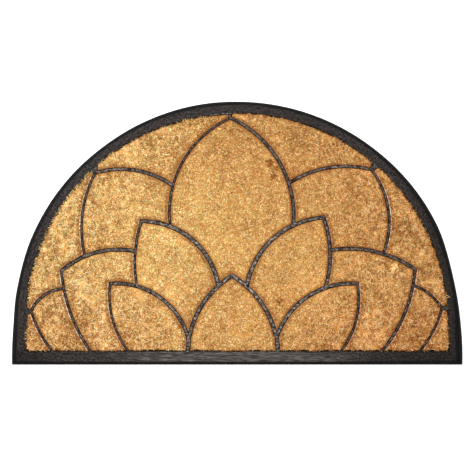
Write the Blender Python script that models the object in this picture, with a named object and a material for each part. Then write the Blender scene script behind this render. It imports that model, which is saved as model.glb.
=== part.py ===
"""Half-round coir doormat: coir pile panels set in a moulded rubber tray.

The tray is one moulding: a base sheet, a border with a sloped outer side, and
raised ribs that draw a fan of petals. Each cell between the ribs holds a panel
of short coir pile. The straight edge faces -Y, and the mat lies on z = 0.
"""

import math
from collections import namedtuple

import bmesh
import bpy
from mathutils import Matrix, Vector
from mathutils.bvhtree import BVHTree

MM = 0.001

# Outline: a half circle on a short straight-sided foot.
WIDTH = 750 * MM
DEPTH = 450 * MM
RADIUS = WIDTH / 2
CENTRE_Y = DEPTH - RADIUS
ARC_SEGMENTS = 96
SIDE_SEGMENTS = 6

# The tray's section, as outline insets and heights: its outer side with the
# slope and the soft rim, and the inner side of the border.
Level = namedtuple("Level", "inset height")
BORDER_WIDTH = 21 * MM
BORDER_TOP = 10 * MM
OUTER_SIDE = [
    Level(0, 0),
    Level(0, 3.3 * MM),
    Level(0.5 * MM, 4.2 * MM),
    Level(4.0 * MM, 9.2 * MM),
    Level(4.7 * MM, 9.8 * MM),
    Level(5.7 * MM, BORDER_TOP),
]
INNER_RIM = [
    Level(BORDER_WIDTH, BORDER_TOP - 1.0 * MM),
    Level(BORDER_WIDTH - 0.3 * MM, BORDER_TOP - 0.3 * MM),
    Level(BORDER_WIDTH - 1.0 * MM, BORDER_TOP),
]

# The border isn't quite true. One row for each place where it strays, in
# millimetres: where that is, how far round it the change reaches, and how far
# out the border's outer edge and its inner edge move there.
Swell = namedtuple("Swell", "name x y reach outer inner")
SWELLS = [
    Swell("foot_left", -375, 25, 65, 1.9, -0.6),
    Swell("foot_right", 375, 25, 65, 2.3, 1.4),
    Swell("side_left", -367, 153, 50, -0.9, 0.5),
    Swell("side_right", 369, 150, 92, -3.2, 0.4),
    Swell("shoulder_left", -230, 372, 85, -0.6, 0.9),
    Swell("shoulder_right", 312, 283, 130, 0.8, 0),
    Swell("crown", -75, 442, 95, 0.5, -1.2),
    Swell("crown_tip", -28, 445, 36, 0, -2.6),
    Swell("tie_left", -372, 82, 30, 0, -3.2),
]

# Base sheet and ribs of the tray.
BASE_THICKNESS = 2.5 * MM
RIB_TOP = 9 * MM
RIB_ROUNDING = 1.3 * MM
RIB_ROUNDING_SEGMENTS = 2
RIB_STEP = 10 * MM

# Coir panels.
PILE_TOP = 10.5 * MM
GAP = 0.3 * MM

# How far a cutter runs past the stock that it cuts.
CUT_PAST = 5 * MM

# Edges flatter than this are shaded smooth.
SMOOTH_ANGLE = math.radians(30)

RUBBER_COLOUR = (0.040, 0.037, 0.036, 1.0)
RUBBER_ROUGHNESS = 0.6
COIR_COLOUR = (0.56, 0.31, 0.11, 1.0)
COIR_ROUGHNESS = 0.95

# One row for each petal, in millimetres: its tip, then the foot and the bulge
# of the arc on its left and of the arc on its right, each with the width of its
# rib. X starts at the mat's middle and Y at the straight edge. A bulge is how
# far an arc rises over its chord, outwards.
Petal = namedtuple(
    "Petal",
    "name tip_x tip_y left_x left_y left_bulge left_width"
    " right_x right_y right_bulge right_width",
)
PETALS = [
    Petal("top", -11.3, 420, -113, 233, 34.8, 4.1, 95.2, 234, 34.3, 5.9),
    Petal("upper_left", -241.2, 324.3, -256.7, 182, 13, 4.0, -108.5, 301.5, 16, 6.1),
    Petal("upper_right", 229.3, 329.7, 87.5, 306, 15.5, 5.7, 246.8, 185.8, 18.8, 4.4),
    Petal("middle_left", -161.8, 241.3, -168.3, 131, 6.8, 4.1, -31.7, 133.4, 30.7, 7.2),
    Petal("middle_right", 146.5, 247.5, 16.6, 131.5, 29.8, 7.0, 148.9, 129.6, 9.6, 6.2),
    Petal("bottom_centre", -8.3, 148.2, -79.5, 46, 13.2, 6.8, 65.2, 47, 13, 6.7),
    Petal("bottom_left", -213.4, 134.9, -180, 19, 12, 3.6, -82, 45.5, 28.2, 6.4),
    Petal("bottom_right", 202.7, 134.7, 67.2, 47, 27.5, 6.7, 171.7, 19, 12.9, 3.9),
    Petal("lower_left", -295.6, 156.6, -243, 19, 10.1, 4.1, -171.4, 189.7, 15.2, 6.8),
    Petal("lower_right", 300, 159, 157, 191.5, 14.6, 6.4, 239.9, 19, 12.1, 4.8),
    Petal("outer_left", -345.3, 88.6, -306.5, 19, 3.9, 3.8, -291.5, 126.5, 9.8, 5.0),
    Petal("outer_right", 344, 93, 296.5, 132, 5.9, 4.2, 303, 19, 4.7, 3.7),
]

# Straight ribs, in millimetres: the stems under the bottom petals, and the
# ties that join the outer tips to the border.
Tie = namedtuple("Tie", "name from_x from_y from_width to_x to_y to_width")
TIES = [
    Tie("stem_left", -80.8, 47, 7.6, -82, 19, 7.2),
    Tie("stem_right", 66.2, 48, 6.2, 69, 19, 7.8),
    Tie("tie_top", -11.5, 419, 5, -12.5, 433, 10),
    Tie("tie_upper_left", -240.5, 324, 7, -247, 338.5, 20),
    Tie("tie_upper_right", 228.8, 329, 6.5, 239, 342, 17),
    Tie("tie_outer_left", -344, 89, 5.5, -358, 87, 16),
    Tie("tie_outer_right", 342.5, 93, 5, 358, 94.5, 12),
]

# A point well inside each cell, in millimetres.
Cell = namedtuple("Cell", "name x y")
CELLS = [
    Cell("petal_top", -10, 320),
    Cell("petal_upper_left", -190, 270),
    Cell("petal_upper_right", 180, 270),
    Cell("petal_middle_left", -110, 190),
    Cell("petal_middle_right", 100, 190),
    Cell("petal_lower_left", -240, 130),
    Cell("petal_lower_right", 245, 130),
    Cell("petal_bottom_left", -160, 80),
    Cell("petal_bottom_centre", -8, 80),
    Cell("petal_bottom_right", 150, 80),
    Cell("petal_outer_left", -310, 80),
    Cell("petal_outer_right", 305, 80),
    Cell("field_upper_left", -130, 360),
    Cell("field_upper_right", 120, 370),
    Cell("field_side_left", -290, 200),
    Cell("field_side_right", 290, 210),
    Cell("field_corner_left", -338, 45),
    Cell("field_corner_right", 338, 45),
]


def clear_scene():
    """Remove every object that is already in the scene."""
    for old in list(bpy.data.objects):
        bpy.data.objects.remove(old, do_unlink=True)


def make_material(name, colour, roughness):
    """Return a plain dielectric surface."""
    material = bpy.data.materials.new(name)
    material.use_nodes = True
    shader = material.node_tree.nodes["Principled BSDF"]
    shader.inputs["Base Color"].default_value = colour
    shader.inputs["Roughness"].default_value = roughness
    shader.inputs["Metallic"].default_value = 0.0
    return material


def rubber_material():
    """Return the matt charcoal rubber of the tray."""
    return make_material("rubber", RUBBER_COLOUR, RUBBER_ROUGHNESS)


def coir_material():
    """Return the golden tan of brushed coir."""
    return make_material("coir", COIR_COLOUR, COIR_ROUGHNESS)


def add_object(name, mesh):
    """Link a mesh into the scene as an object."""
    thing = bpy.data.objects.new(name, mesh)
    bpy.context.scene.collection.objects.link(thing)
    return thing


def finish(thing, material):
    """Give a finished piece its material and its shading."""
    thing.data.materials.append(material)
    thing.data.shade_smooth()
    thing.data.set_sharp_from_angle(angle=SMOOTH_ANGLE)


def to_frame(x, y):
    """Turn table millimetres into metres about the mat's middle."""
    return Vector((x * MM, y * MM - DEPTH / 2))


def swell(point, inset):
    """Return how far out of true the border stands at a point of its edge."""
    inwards = min(1.0, inset / BORDER_WIDTH)
    total = 0.0
    for place in SWELLS:
        distance = (point - to_frame(place.x, place.y)).length
        share = max(0.0, 1.0 - (distance / (place.reach * MM)) ** 2) ** 2
        total += share * MM * (place.outer + (place.inner - place.outer) * inwards)
    return total


def spokes(front):
    """Return the height on the middle line and the angle of each outline point."""
    middle = CENTRE_Y - DEPTH / 2
    side = [front + (middle - front) * i / SIDE_SEGMENTS for i in range(SIDE_SEGMENTS)]
    right = [(y, 0.0) for y in side]
    over = [(middle, math.pi * i / ARC_SEGMENTS) for i in range(ARC_SEGMENTS + 1)]
    left = [(y, math.pi) for y in reversed(side)]
    return right + over + left


def outline(inset):
    """Return the mat's outline, moved inwards by an inset, anticlockwise."""
    points = []
    for y, angle in spokes(-DEPTH / 2 + inset):
        outwards = Vector((math.cos(angle), math.sin(angle)))
        foot = Vector((0, y))
        strays = swell(foot + outwards * RADIUS, inset)
        points.append(foot + outwards * (RADIUS - inset + strays))
    return points


def loft(levels):
    """Return a bmesh solid through closed outlines, each at its height."""
    bm = bmesh.new()
    loops = []
    for points, height in levels:
        ring = [bm.verts.new((p.x, p.y, height)) for p in points]
        pairs = zip(ring, ring[1:] + ring[:1])
        loops.append([bm.edges.new(pair) for pair in pairs])
    for lower, upper in zip(loops, loops[1:]):
        bmesh.ops.bridge_loops(bm, edges=lower + upper)
    bmesh.ops.contextual_create(bm, geom=loops[0])
    bmesh.ops.contextual_create(bm, geom=loops[-1])
    bmesh.ops.recalc_face_normals(bm, faces=bm.faces)
    return bm


def prism(points, bottom, top):
    """Return a bmesh prism over an outline."""
    return loft([(points, bottom), (points, top)])


def to_mesh(bm, name):
    """Move a bmesh into a new mesh."""
    mesh = bpy.data.meshes.new(name)
    bm.to_mesh(mesh)
    bm.free()
    return mesh


def arc(start, end, bulge):
    """Return points along an arc that bulges to the left of its travel."""
    chord = end - start
    half_chord = chord.length / 2
    radius = (half_chord**2 + bulge**2) / (2 * bulge)
    left = Vector((-chord.y, chord.x)).normalized()
    centre = start + chord / 2 + left * (bulge - radius)
    angle = 2 * math.asin(half_chord / radius)
    steps = max(2, math.ceil(angle * radius / RIB_STEP))
    turns = [Matrix.Rotation(-angle * i / steps, 2) for i in range(steps + 1)]
    return [centre + turn @ (start - centre) for turn in turns]


def petal_line(petal):
    """Return a petal's edge from foot to foot, and the rib's width at each point."""
    tip = to_frame(petal.tip_x, petal.tip_y)
    left_foot = to_frame(petal.left_x, petal.left_y)
    right_foot = to_frame(petal.right_x, petal.right_y)
    rise = arc(left_foot, tip, petal.left_bulge * MM)
    fall = arc(tip, right_foot, petal.right_bulge * MM)
    widths = [petal.left_width * MM] * (len(rise) - 1)
    widths += [(petal.left_width + petal.right_width) / 2 * MM]
    widths += [petal.right_width * MM] * (len(fall) - 1)
    return rise + fall[1:], widths


def tie_line(tie):
    """Return the two ends of a straight rib, and its width at each."""
    ends = [to_frame(tie.from_x, tie.from_y), to_frame(tie.to_x, tie.to_y)]
    return ends, [tie.from_width * MM, tie.to_width * MM]


def side_line(line, distances):
    """Return a line moved to its left by a distance at each point, corners mitred."""
    moved = []
    last = len(line) - 1
    for i, point in enumerate(line):
        before = (point - line[i - 1]).normalized() if i > 0 else None
        after = (line[i + 1] - point).normalized() if i < last else None
        before = before or after
        after = after or before
        along = (before + after).normalized()
        across = Vector((-along.y, along.x))
        stretch = 1 / along.dot(after)
        moved.append(point + across * distances[i] * stretch)
    return moved


def strip(line, widths, bottom, top, rounding=0.0):
    """Return a bmesh bar along a line; a rounding softens its top's long edges."""
    right = side_line(line, [-width / 2 for width in widths])
    left = side_line(line, [width / 2 for width in widths])
    bm = prism(right + left[::-1], bottom, top)
    if rounding > 0:
        ends = [line[0], line[-1]]
        top_face = max(bm.faces, key=lambda face: face.calc_center_median().z)
        long_edges = [edge for edge in top_face.edges if not crosses_an_end(edge, ends)]
        bmesh.ops.bevel(
            bm,
            geom=long_edges,
            offset=rounding,
            offset_type="OFFSET",
            segments=RIB_ROUNDING_SEGMENTS,
            profile=0.5,
            affect="EDGES",
            clamp_overlap=False,
        )
    return bm


def crosses_an_end(edge, ends):
    """Tell whether an edge closes a bar across one of its ends."""
    middle = (edge.verts[0].co + edge.verts[1].co) / 2
    return any((middle.xy - end).length < MM / 10 for end in ends)


def bars(extra_width, bottom, top, rounding=0.0):
    """Return an object for each rib, widened by a given amount."""
    ribs = [(petal.name, petal_line(petal)) for petal in PETALS]
    ribs += [(tie.name, tie_line(tie)) for tie in TIES]
    made = []
    for name, (line, widths) in ribs:
        widened = [width + extra_width for width in widths]
        bar = strip(line, widened, bottom, top, rounding)
        made.append(add_object("bar_" + name, to_mesh(bar, name)))
    return made


def cut(stock, cutters):
    """Cut the cutters out of the stock, then remove the cutters."""
    for cutter in cutters:
        step = stock.modifiers.new(cutter.name, "BOOLEAN")
        step.operation = "DIFFERENCE"
        step.solver = "EXACT"
        step.object = cutter
    bpy.context.view_layer.update()
    shaped = stock.evaluated_get(bpy.context.evaluated_depsgraph_get())
    mesh = bpy.data.meshes.new_from_object(shaped)
    stock.modifiers.clear()
    stock.data = mesh
    for cutter in cutters:
        bpy.data.objects.remove(cutter, do_unlink=True)


def rubber_tray():
    """Build the tray: its blank with a hollow sunk round the ribs."""
    blank = loft([(outline(level.inset), level.height) for level in OUTER_SIDE])
    tray = add_object("rubber_tray", to_mesh(blank, "rubber_tray"))
    levels = [(outline(BORDER_WIDTH), BASE_THICKNESS)]
    levels += [(outline(level.inset), level.height) for level in INNER_RIM]
    levels += [(outline(INNER_RIM[-1].inset), BORDER_TOP + CUT_PAST)]
    hollow = add_object("hollow", to_mesh(loft(levels), "hollow"))
    cut(hollow, bars(0, BASE_THICKNESS - CUT_PAST, RIB_TOP, RIB_ROUNDING))
    cut(tray, [hollow])
    finish(tray, rubber_material())


def island(bm, face):
    """Return a new bmesh holding only the loose part that a face belongs to."""
    reached = {face.index}
    waiting = [face]
    while waiting:
        for edge in waiting.pop().edges:
            for neighbour in edge.link_faces:
                if neighbour.index not in reached:
                    reached.add(neighbour.index)
                    waiting.append(neighbour)
    part = bm.copy()
    part.faces.ensure_lookup_table()
    others = [f for f in part.faces if f.index not in reached]
    bmesh.ops.delete(part, geom=others, context="FACES")
    return part


def coir_panels():
    """Build one pile panel for each cell, parted by the ribs."""
    inside = outline(BORDER_WIDTH + GAP)
    slab = add_object("slab", to_mesh(prism(inside, BASE_THICKNESS + GAP, PILE_TOP), "slab"))
    cut(slab, bars(2 * GAP, BASE_THICKNESS - CUT_PAST, PILE_TOP + CUT_PAST))
    parted = bmesh.new()
    parted.from_mesh(slab.data)
    parted.faces.ensure_lookup_table()
    bpy.data.objects.remove(slab, do_unlink=True)
    tree = BVHTree.FromBMesh(parted)
    coir = coir_material()
    for cell in CELLS:
        above = to_frame(cell.x, cell.y).to_3d() + Vector((0, 0, PILE_TOP + CUT_PAST))
        hit = tree.ray_cast(above, Vector((0, 0, -1)))
        part = island(parted, parted.faces[hit[2]])
        finish(add_object(cell.name, to_mesh(part, cell.name)), coir)
    parted.free()


def main():
    """Build the whole mat."""
    clear_scene()
    rubber_tray()
    coir_panels()


main()
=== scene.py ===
# %% [markdown]
# # A half-round doormat of coir in rubber
#
# The mat is one moulded rubber tray with raised ribs that draw a fan of petals.
# Every cell between the ribs is filled with short, stiff coir pile. The packed
# model gives the tray and one plain slab for each cell. This script dresses
# them: it welds and finishes the tray, turns each slab into a lumpy bed of
# pile, and plants the fibres that make the mat look like coir.

import math
from collections import namedtuple

import bmesh
import bpy
from mathutils import Matrix, Vector, noise
from mathutils.bvhtree import BVHTree


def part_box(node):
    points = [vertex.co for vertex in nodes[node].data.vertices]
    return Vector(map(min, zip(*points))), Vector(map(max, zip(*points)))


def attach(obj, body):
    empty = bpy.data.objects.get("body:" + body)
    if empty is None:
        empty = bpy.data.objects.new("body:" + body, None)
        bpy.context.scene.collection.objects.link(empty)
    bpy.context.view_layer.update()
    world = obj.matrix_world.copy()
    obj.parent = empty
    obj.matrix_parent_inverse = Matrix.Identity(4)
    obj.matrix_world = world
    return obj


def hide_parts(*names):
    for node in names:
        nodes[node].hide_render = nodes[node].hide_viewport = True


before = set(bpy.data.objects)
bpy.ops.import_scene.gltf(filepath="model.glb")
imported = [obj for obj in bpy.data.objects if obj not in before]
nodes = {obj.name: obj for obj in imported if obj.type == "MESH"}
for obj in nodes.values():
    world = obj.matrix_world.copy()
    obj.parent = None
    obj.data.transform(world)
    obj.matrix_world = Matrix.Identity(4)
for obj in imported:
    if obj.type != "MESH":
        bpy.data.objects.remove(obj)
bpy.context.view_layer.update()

# %% [markdown]
# The tray is the node that spans the whole mat, and the other nodes are the
# coir panels. Heights and edges are read from the boxes of the nodes, so the
# finish follows the solids. No box gives the radius of the arc, the width of
# the border or the height of the ribs, so these three are written here.

# %% Name the nodes and the sizes
MM = 0.001
TRAY = "rubber_tray"
PANELS = sorted(name for name in nodes if name != TRAY)

tray_low, tray_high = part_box(TRAY)
panel_low, panel_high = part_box(PANELS[0])
ARC_RADIUS = 375 * MM
BORDER_WIDTH = 21 * MM
RIB_TOP = 9 * MM
FRONT_Y = tray_low.y
BORDER_TOP = tray_high.z
PILE_TOP = panel_high.z
PANEL_BOTTOM = panel_low.z
ARC_CENTRE_Y = tray_high.y - ARC_RADIUS
print("border top", round(BORDER_TOP / MM, 2), "pile top", round(PILE_TOP / MM, 2), "panels", len(PANELS))

# %% [markdown]
# Node trees are wired in one way everywhere: a helper adds a node, sets its
# options and fills its inputs. An input is either a plain value or the output
# of an earlier node. A range says where a value starts and ends and, if that
# isn't 0 to 1, what it becomes there. A pattern is a noise: its waves in a
# metre, its detail, its roughness and how it is stretched.

# %% Helpers for node trees
Pattern = namedtuple("Pattern", "scale detail roughness stretch", defaults=(2.0, 0.5, None))


def add_node(tree, kind, options=None, inputs=None):
    """Add a node, set its options, and fill its inputs by name or by place."""
    node = tree.nodes.new(kind)
    for option, value in (options or {}).items():
        setattr(node, option, value)
    for key, value in (inputs or {}).items():
        if isinstance(value, bpy.types.NodeSocket):
            tree.links.new(value, node.inputs[key])
        else:
            node.inputs[key].default_value = value
    return node


def calc(tree, operation, *values):
    """Return the result of one sum on numbers or outputs."""
    inputs = dict(enumerate(values))
    return add_node(tree, "ShaderNodeMath", {"operation": operation}, inputs).outputs[0]


def product(tree, *factors):
    """Return the product of several numbers or outputs."""
    result = factors[0]
    for factor in factors[1:]:
        result = calc(tree, "MULTIPLY", result, factor)
    return result


def remap(tree, value, from_low, from_high, to_low=0.0, to_high=1.0):
    """Return a value carried smoothly from one range to another, and held at its ends."""
    inputs = {0: value, 1: from_low, 2: from_high, 3: to_low, 4: to_high}
    node = add_node(tree, "ShaderNodeMapRange", {"interpolation_type": "SMOOTHSTEP"}, inputs)
    return node.outputs[0]


def noise_node(tree, vector, pattern):
    """Return noise from 0 to 1 on coordinates in metres, stretched if the pattern is."""
    if pattern.stretch:
        inputs = {"Vector": vector, "Scale": pattern.stretch}
        vector = add_node(tree, "ShaderNodeMapping", None, inputs).outputs[0]
    inputs = {"Vector": vector, "Scale": pattern.scale, "Detail": pattern.detail}
    inputs["Roughness"] = pattern.roughness
    return add_node(tree, "ShaderNodeTexNoise", None, inputs).outputs["Fac"]


def patterned(tree, vector, pattern, limits):
    """Return a pattern carried to a range."""
    return remap(tree, noise_node(tree, vector, pattern), *limits)


def distance_to(tree, place, centre):
    """Return the distance of each place to a point."""
    node = add_node(tree, "ShaderNodeVectorMath", {"operation": "DISTANCE"}, {0: place, 1: centre})
    return node.outputs["Value"]


def split(tree, vector):
    """Return the outputs that give the three parts of a vector."""
    return add_node(tree, "ShaderNodeSeparateXYZ", None, {0: vector}).outputs


def vector_of(tree, *parts):
    """Return a vector made of its parts."""
    return add_node(tree, "ShaderNodeCombineXYZ", None, dict(enumerate(parts))).outputs[0]


def mix_numbers(tree, share, first, second):
    """Return two numbers mixed by a share."""
    return add_node(tree, "ShaderNodeMix", None, {0: share, 2: first, 3: second}).outputs[0]


def mix(tree, share, first, second, blend="MIX"):
    """Return two colours mixed by a share, where a colour is three numbers or an output."""
    first, second = ((*side, 1.0) if isinstance(side, tuple) else side for side in (first, second))
    options = {"data_type": "RGBA", "blend_type": blend}
    node = add_node(tree, "ShaderNodeMix", options, {0: share, 6: first, 7: second})
    return node.outputs[2]


def scale_colour(tree, colour, share):
    """Return a colour made lighter or darker by a share."""
    inputs = {0: colour, "Scale": share}
    return add_node(tree, "ShaderNodeVectorMath", {"operation": "SCALE"}, inputs).outputs[0]


def ramp(tree, value, stops):
    """Return a colour read from a ramp of positions and colours."""
    node = add_node(tree, "ShaderNodeValToRGB", None, {0: value})
    elements = node.color_ramp.elements
    while len(elements) < len(stops):
        elements.new(0.5)
    for element, (position, colour) in zip(elements, stops):
        element.position = position
        element.color = (*colour, 1.0)
    return node.outputs[0]


def attribute(tree, name):
    """Return a value that is kept on the mesh under that name."""
    return add_node(tree, "ShaderNodeAttribute", {"attribute_name": name}).outputs["Fac"]


def new_material(name, roughness, specular):
    """Return a material with its tree, its shader and its object coordinates."""
    material = bpy.data.materials.new(name)
    material.use_nodes = True
    tree = material.node_tree
    shader = tree.nodes["Principled BSDF"]
    shader.inputs["Roughness"].default_value = roughness
    shader.inputs["Specular IOR Level"].default_value = specular
    place = tree.nodes.new("ShaderNodeTexCoord").outputs["Object"]
    return material, tree, shader, place


def finish_surface(tree, shader, colour, height, strength, depth):
    """Give a shader its colour and its bump."""
    tree.links.new(colour, shader.inputs["Base Color"])
    inputs = {"Strength": strength, "Distance": depth, "Height": height}
    bump = add_node(tree, "ShaderNodeBump", None, inputs)
    tree.links.new(bump.outputs[0], shader.inputs["Normal"])


# %% [markdown]
# Rubber of this kind is a matt charcoal with a dry bloom on it. The front
# border is combed with fine streaks, and its middle is painted pale in streaks,
# partly scuffs and partly a painted sheen of the light. Its outer slope is
# painted nearly black as shade, and painted shade dims its right side and its
# front left corner. The sides of the ribs are painted black as shade, their
# crests grey as a painted highlight, and a thin painted highlight runs along
# the inner rim beside the ties. Each of those is a mask made from object
# coordinates, so it sits on the form and not on the picture of it.

# %% Sizes and colours of the rubber
RUBBER_ROUGHNESS = 0.7
RUBBER_SPECULAR = 0.08
RUBBER_BUMP = (0.35, 0.3 * MM)
RUBBER_IN_SHADOW = (0.0022, 0.0019, 0.0018)
RUBBER_TOP = (0.0226, 0.0183, 0.0167)
RUBBER_IN_SHADE = (0.0146, 0.0114, 0.0101)
RUBBER_SCUFFED_SHEEN = (0.056, 0.049, 0.044)
RUBBER_GRAIN = Pattern(900.0, 3.0, 0.6)

# The border: its front strip, its outer slopes painted black as shade, and where
# painted shade dims it.
FRONT_STRIP = (BORDER_WIDTH + 1 * MM, BORDER_WIDTH - 1 * MM)
FRONT_SLOPE = (2.5 * MM, 5.5 * MM)
ARC_SLOPE = (5.6 * MM, 9.6 * MM)
DIM_LEFT = (-0.28, -0.36)
DIM_RIGHT = (0.16, 0.36)
DIM_SLOPE_GROWS = 1.5 * MM
FAR_RIGHT = (0.30, 0.365)
FAR_SLOPE_GROWS = 3.0 * MM

# How light its top is round the arc, from 0 at the right to 1 at the left.
RING_LIGHTNESS = [
    (0.0, 0.77),
    (0.24, 0.96),
    (0.39, 0.70),
    (0.5, 0.80),
    (0.76, 0.86),
    (0.92, 0.66),
    (1.0, 0.77),
]

# What feet did to it: streaks, scratches and mottling. Round the middle of the
# front strip the scratches are deeper, and the rubber is painted paler in streaks,
# partly scuffs and partly a painted sheen of the light.
TREAD_AND_SHEEN_CENTRE = (0.0, -0.19, 0.0)
TREAD_AND_SHEEN_REACH = (0.25, 0.09)
STREAKS = Pattern(1.0, 3.0, 0.6, (11.0, 400.0, 1.0))
STREAK_SCUFFS_AND_SHEEN = (0.38, 0.62, 0.3, 1.2)
SCRATCHES = Pattern(1.0, 2.0, 0.6, (55.0, 560.0, 1.0))
SCRATCH_SHADES = (0.36, 0.64, -1.0, 1.0)
SCRATCH_DEPTH = 0.35
COMBED_DEPTH = 0.3
MOTTLE = Pattern(300.0, 3.0, 0.7)
MOTTLE_SHADES = (0.37, 0.63, 0.22, 1.85)

# The ribs: sides painted black as shade, and crests painted grey as a highlight,
# brightest round the middle towards the front.
INSIDE_BORDER = (BORDER_WIDTH - 4 * MM, BORDER_WIDTH - 3 * MM)
BELOW_CREST = (RIB_TOP, RIB_TOP - 0.3 * MM)
CREST_FROM = (RIB_TOP - 0.10 * MM, RIB_TOP - 0.01 * MM)
CREST_UP_TO = (RIB_TOP + 0.3 * MM, RIB_TOP + 0.1 * MM)
CREST_OFF_BORDER = (BORDER_WIDTH + 4 * MM, BORDER_WIDTH + 13 * MM, 0.35, 1.0)
CREST_HIGHLIGHT_DIM = (0.088, 0.069, 0.056)
CREST_HIGHLIGHT_BRIGHT = (0.143, 0.120, 0.103)
CREST_MOTTLE = (0.38, 0.6, 0.3, 1.15)
CREST_FLECKS = (0.4, 0.62, 0.22, 0.96)
CREST_STEEP = (0.3, 1.0, 1.0, 0.75)
FLECKS = Pattern(240.0)
CREST_GLEAM_CENTRE = (-0.01, -0.09, 0.0)
CREST_GLEAM_REACH = (0.21, 0.07)

# The thin pale line on the inner rim beside the ties is a painted highlight, where
# the rim's edge catches the light: in millimetres, where it shows, and how far.
Glint = namedtuple("Glint", "name x y reach")
RIM_GLINTS = [
    Glint("crown", -24, 201, 26),
    Glint("upper_left", -244, 104, 12),
    Glint("upper_right", 238, 108, 15),
]
GLINT_CORE = 0.7
RIM_HIGHLIGHT = (0.15, 0.15, 0.145)
RIM_HIGHLIGHT_INSET = BORDER_WIDTH + 1.2 * MM
RIM_HIGHLIGHT_SIDES = (0.7 * MM, 0.3 * MM)
RIM_BREAKS = Pattern(260.0)
RIM_BREAK_SHARES = (0.36, 0.5)


# %% The rubber
def insets(tree, axes):
    """Return how far each place lies inside the front edge and inside the arc."""
    off_centre = calc(tree, "SUBTRACT", axes[1], ARC_CENTRE_Y)
    spread = vector_of(tree, axes[0], calc(tree, "MAXIMUM", off_centre, 0.0))
    reach = distance_to(tree, spread, (0.0, 0.0, 0.0))
    return (
        calc(tree, "SUBTRACT", axes[1], FRONT_Y),
        calc(tree, "SUBTRACT", ARC_RADIUS, reach),
    )


def border_run(tree, axes, from_front, from_arc):
    """Return coordinates that run along and across the border, and the turn round the arc."""
    off_centre = calc(tree, "SUBTRACT", axes[1], ARC_CENTRE_Y)
    turn = calc(tree, "ARCTAN2", calc(tree, "MAXIMUM", off_centre, 0.0), axes[0])
    side = calc(tree, "MINIMUM", off_centre, 0.0)
    round_arc = calc(tree, "MULTIPLY_ADD", turn, ARC_RADIUS, side)
    front = calc(tree, "LESS_THAN", from_front, from_arc)
    along = mix_numbers(tree, front, round_arc, axes[0])
    across = calc(tree, "MINIMUM", from_front, from_arc)
    return vector_of(tree, along, across), calc(tree, "DIVIDE", turn, math.pi)


def border_masks(tree, axes, from_front, from_arc):
    """Return where the front strip is, where painted shade dims the border, and where its top face is."""
    on_front = remap(tree, from_front, *FRONT_STRIP)
    dim_left = product(tree, on_front, remap(tree, axes[0], *DIM_LEFT))
    dim = calc(tree, "MAXIMUM", remap(tree, axes[0], *DIM_RIGHT), dim_left)
    # The slopes painted black as shade reach further in where the border is dim, and at the far right.
    past_front = calc(tree, "MULTIPLY_ADD", dim, -DIM_SLOPE_GROWS, from_front)
    far_right = remap(tree, axes[0], *FAR_RIGHT)
    past_arc = calc(tree, "MULTIPLY_ADD", far_right, -FAR_SLOPE_GROWS, from_arc)
    on_top = product(
        tree,
        remap(tree, past_front, *FRONT_SLOPE),
        remap(tree, past_arc, *ARC_SLOPE),
    )
    return on_front, dim, on_top


def border_colour(tree, turn, dim, on_top, scuff_and_sheen):
    """Return the border's colour: slopes painted black as shade, a top whose lightness changes round the
    arc, and scuffs with a painted sheen.
    """
    top = mix(tree, dim, RUBBER_TOP, RUBBER_IN_SHADE)
    ring = ramp(tree, turn, [(where, (lightness, lightness, lightness)) for where, lightness in RING_LIGHTNESS])
    top = mix(tree, 1.0, top, ring, "MULTIPLY")
    colour = mix(tree, on_top, RUBBER_IN_SHADOW, top)
    return mix(tree, scuff_and_sheen, colour, RUBBER_SCUFFED_SHEEN)


def crest_share(tree, place, height, inside, from_arc, mottle):
    """Return how much painted highlight shows on the crests of the ribs, less where a rib runs from front
    to back.
    """
    return product(
        tree,
        remap(tree, height, *CREST_FROM),
        remap(tree, height, *CREST_UP_TO),
        inside,
        remap(tree, from_arc, *CREST_OFF_BORDER),
        remap(tree, mottle, *CREST_MOTTLE),
        patterned(tree, place, FLECKS, CREST_FLECKS),
        remap(tree, attribute(tree, "steep"), *CREST_STEEP),
    )


def rim_highlight(tree, place, from_arc):
    """Return where a painted highlight runs as a thin pale line along the inner rim, beside the ties."""
    glint_share = 0.0
    for wear_and_glint in RIM_GLINTS:
        near = distance_to(tree, place, (wear_and_glint.x * MM, wear_and_glint.y * MM, RIB_TOP))
        near = remap(tree, near, wear_and_glint.reach * MM, GLINT_CORE * wear_and_glint.reach * MM)
        glint_share = calc(tree, "ADD", glint_share, near)
    off = calc(tree, "ABSOLUTE", calc(tree, "SUBTRACT", from_arc, RIM_HIGHLIGHT_INSET))
    line = remap(tree, off, *RIM_HIGHLIGHT_SIDES)
    return product(tree, glint_share, line, patterned(tree, place, RIM_BREAKS, RIM_BREAK_SHARES))


def rubber_shade(tree, run, combed, mottle):
    """Return how light the rubber is: mottled, or scratched deeper where it is combed."""
    mottled = mix_numbers(tree, combed, remap(tree, mottle, *MOTTLE_SHADES), 1.0)
    depth = calc(tree, "MULTIPLY_ADD", combed, COMBED_DEPTH, SCRATCH_DEPTH)
    scratches = patterned(tree, run, SCRATCHES, SCRATCH_SHADES)
    scratched = calc(tree, "MULTIPLY_ADD", scratches, depth, 1.0)
    return product(tree, mottled, scratched)


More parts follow.
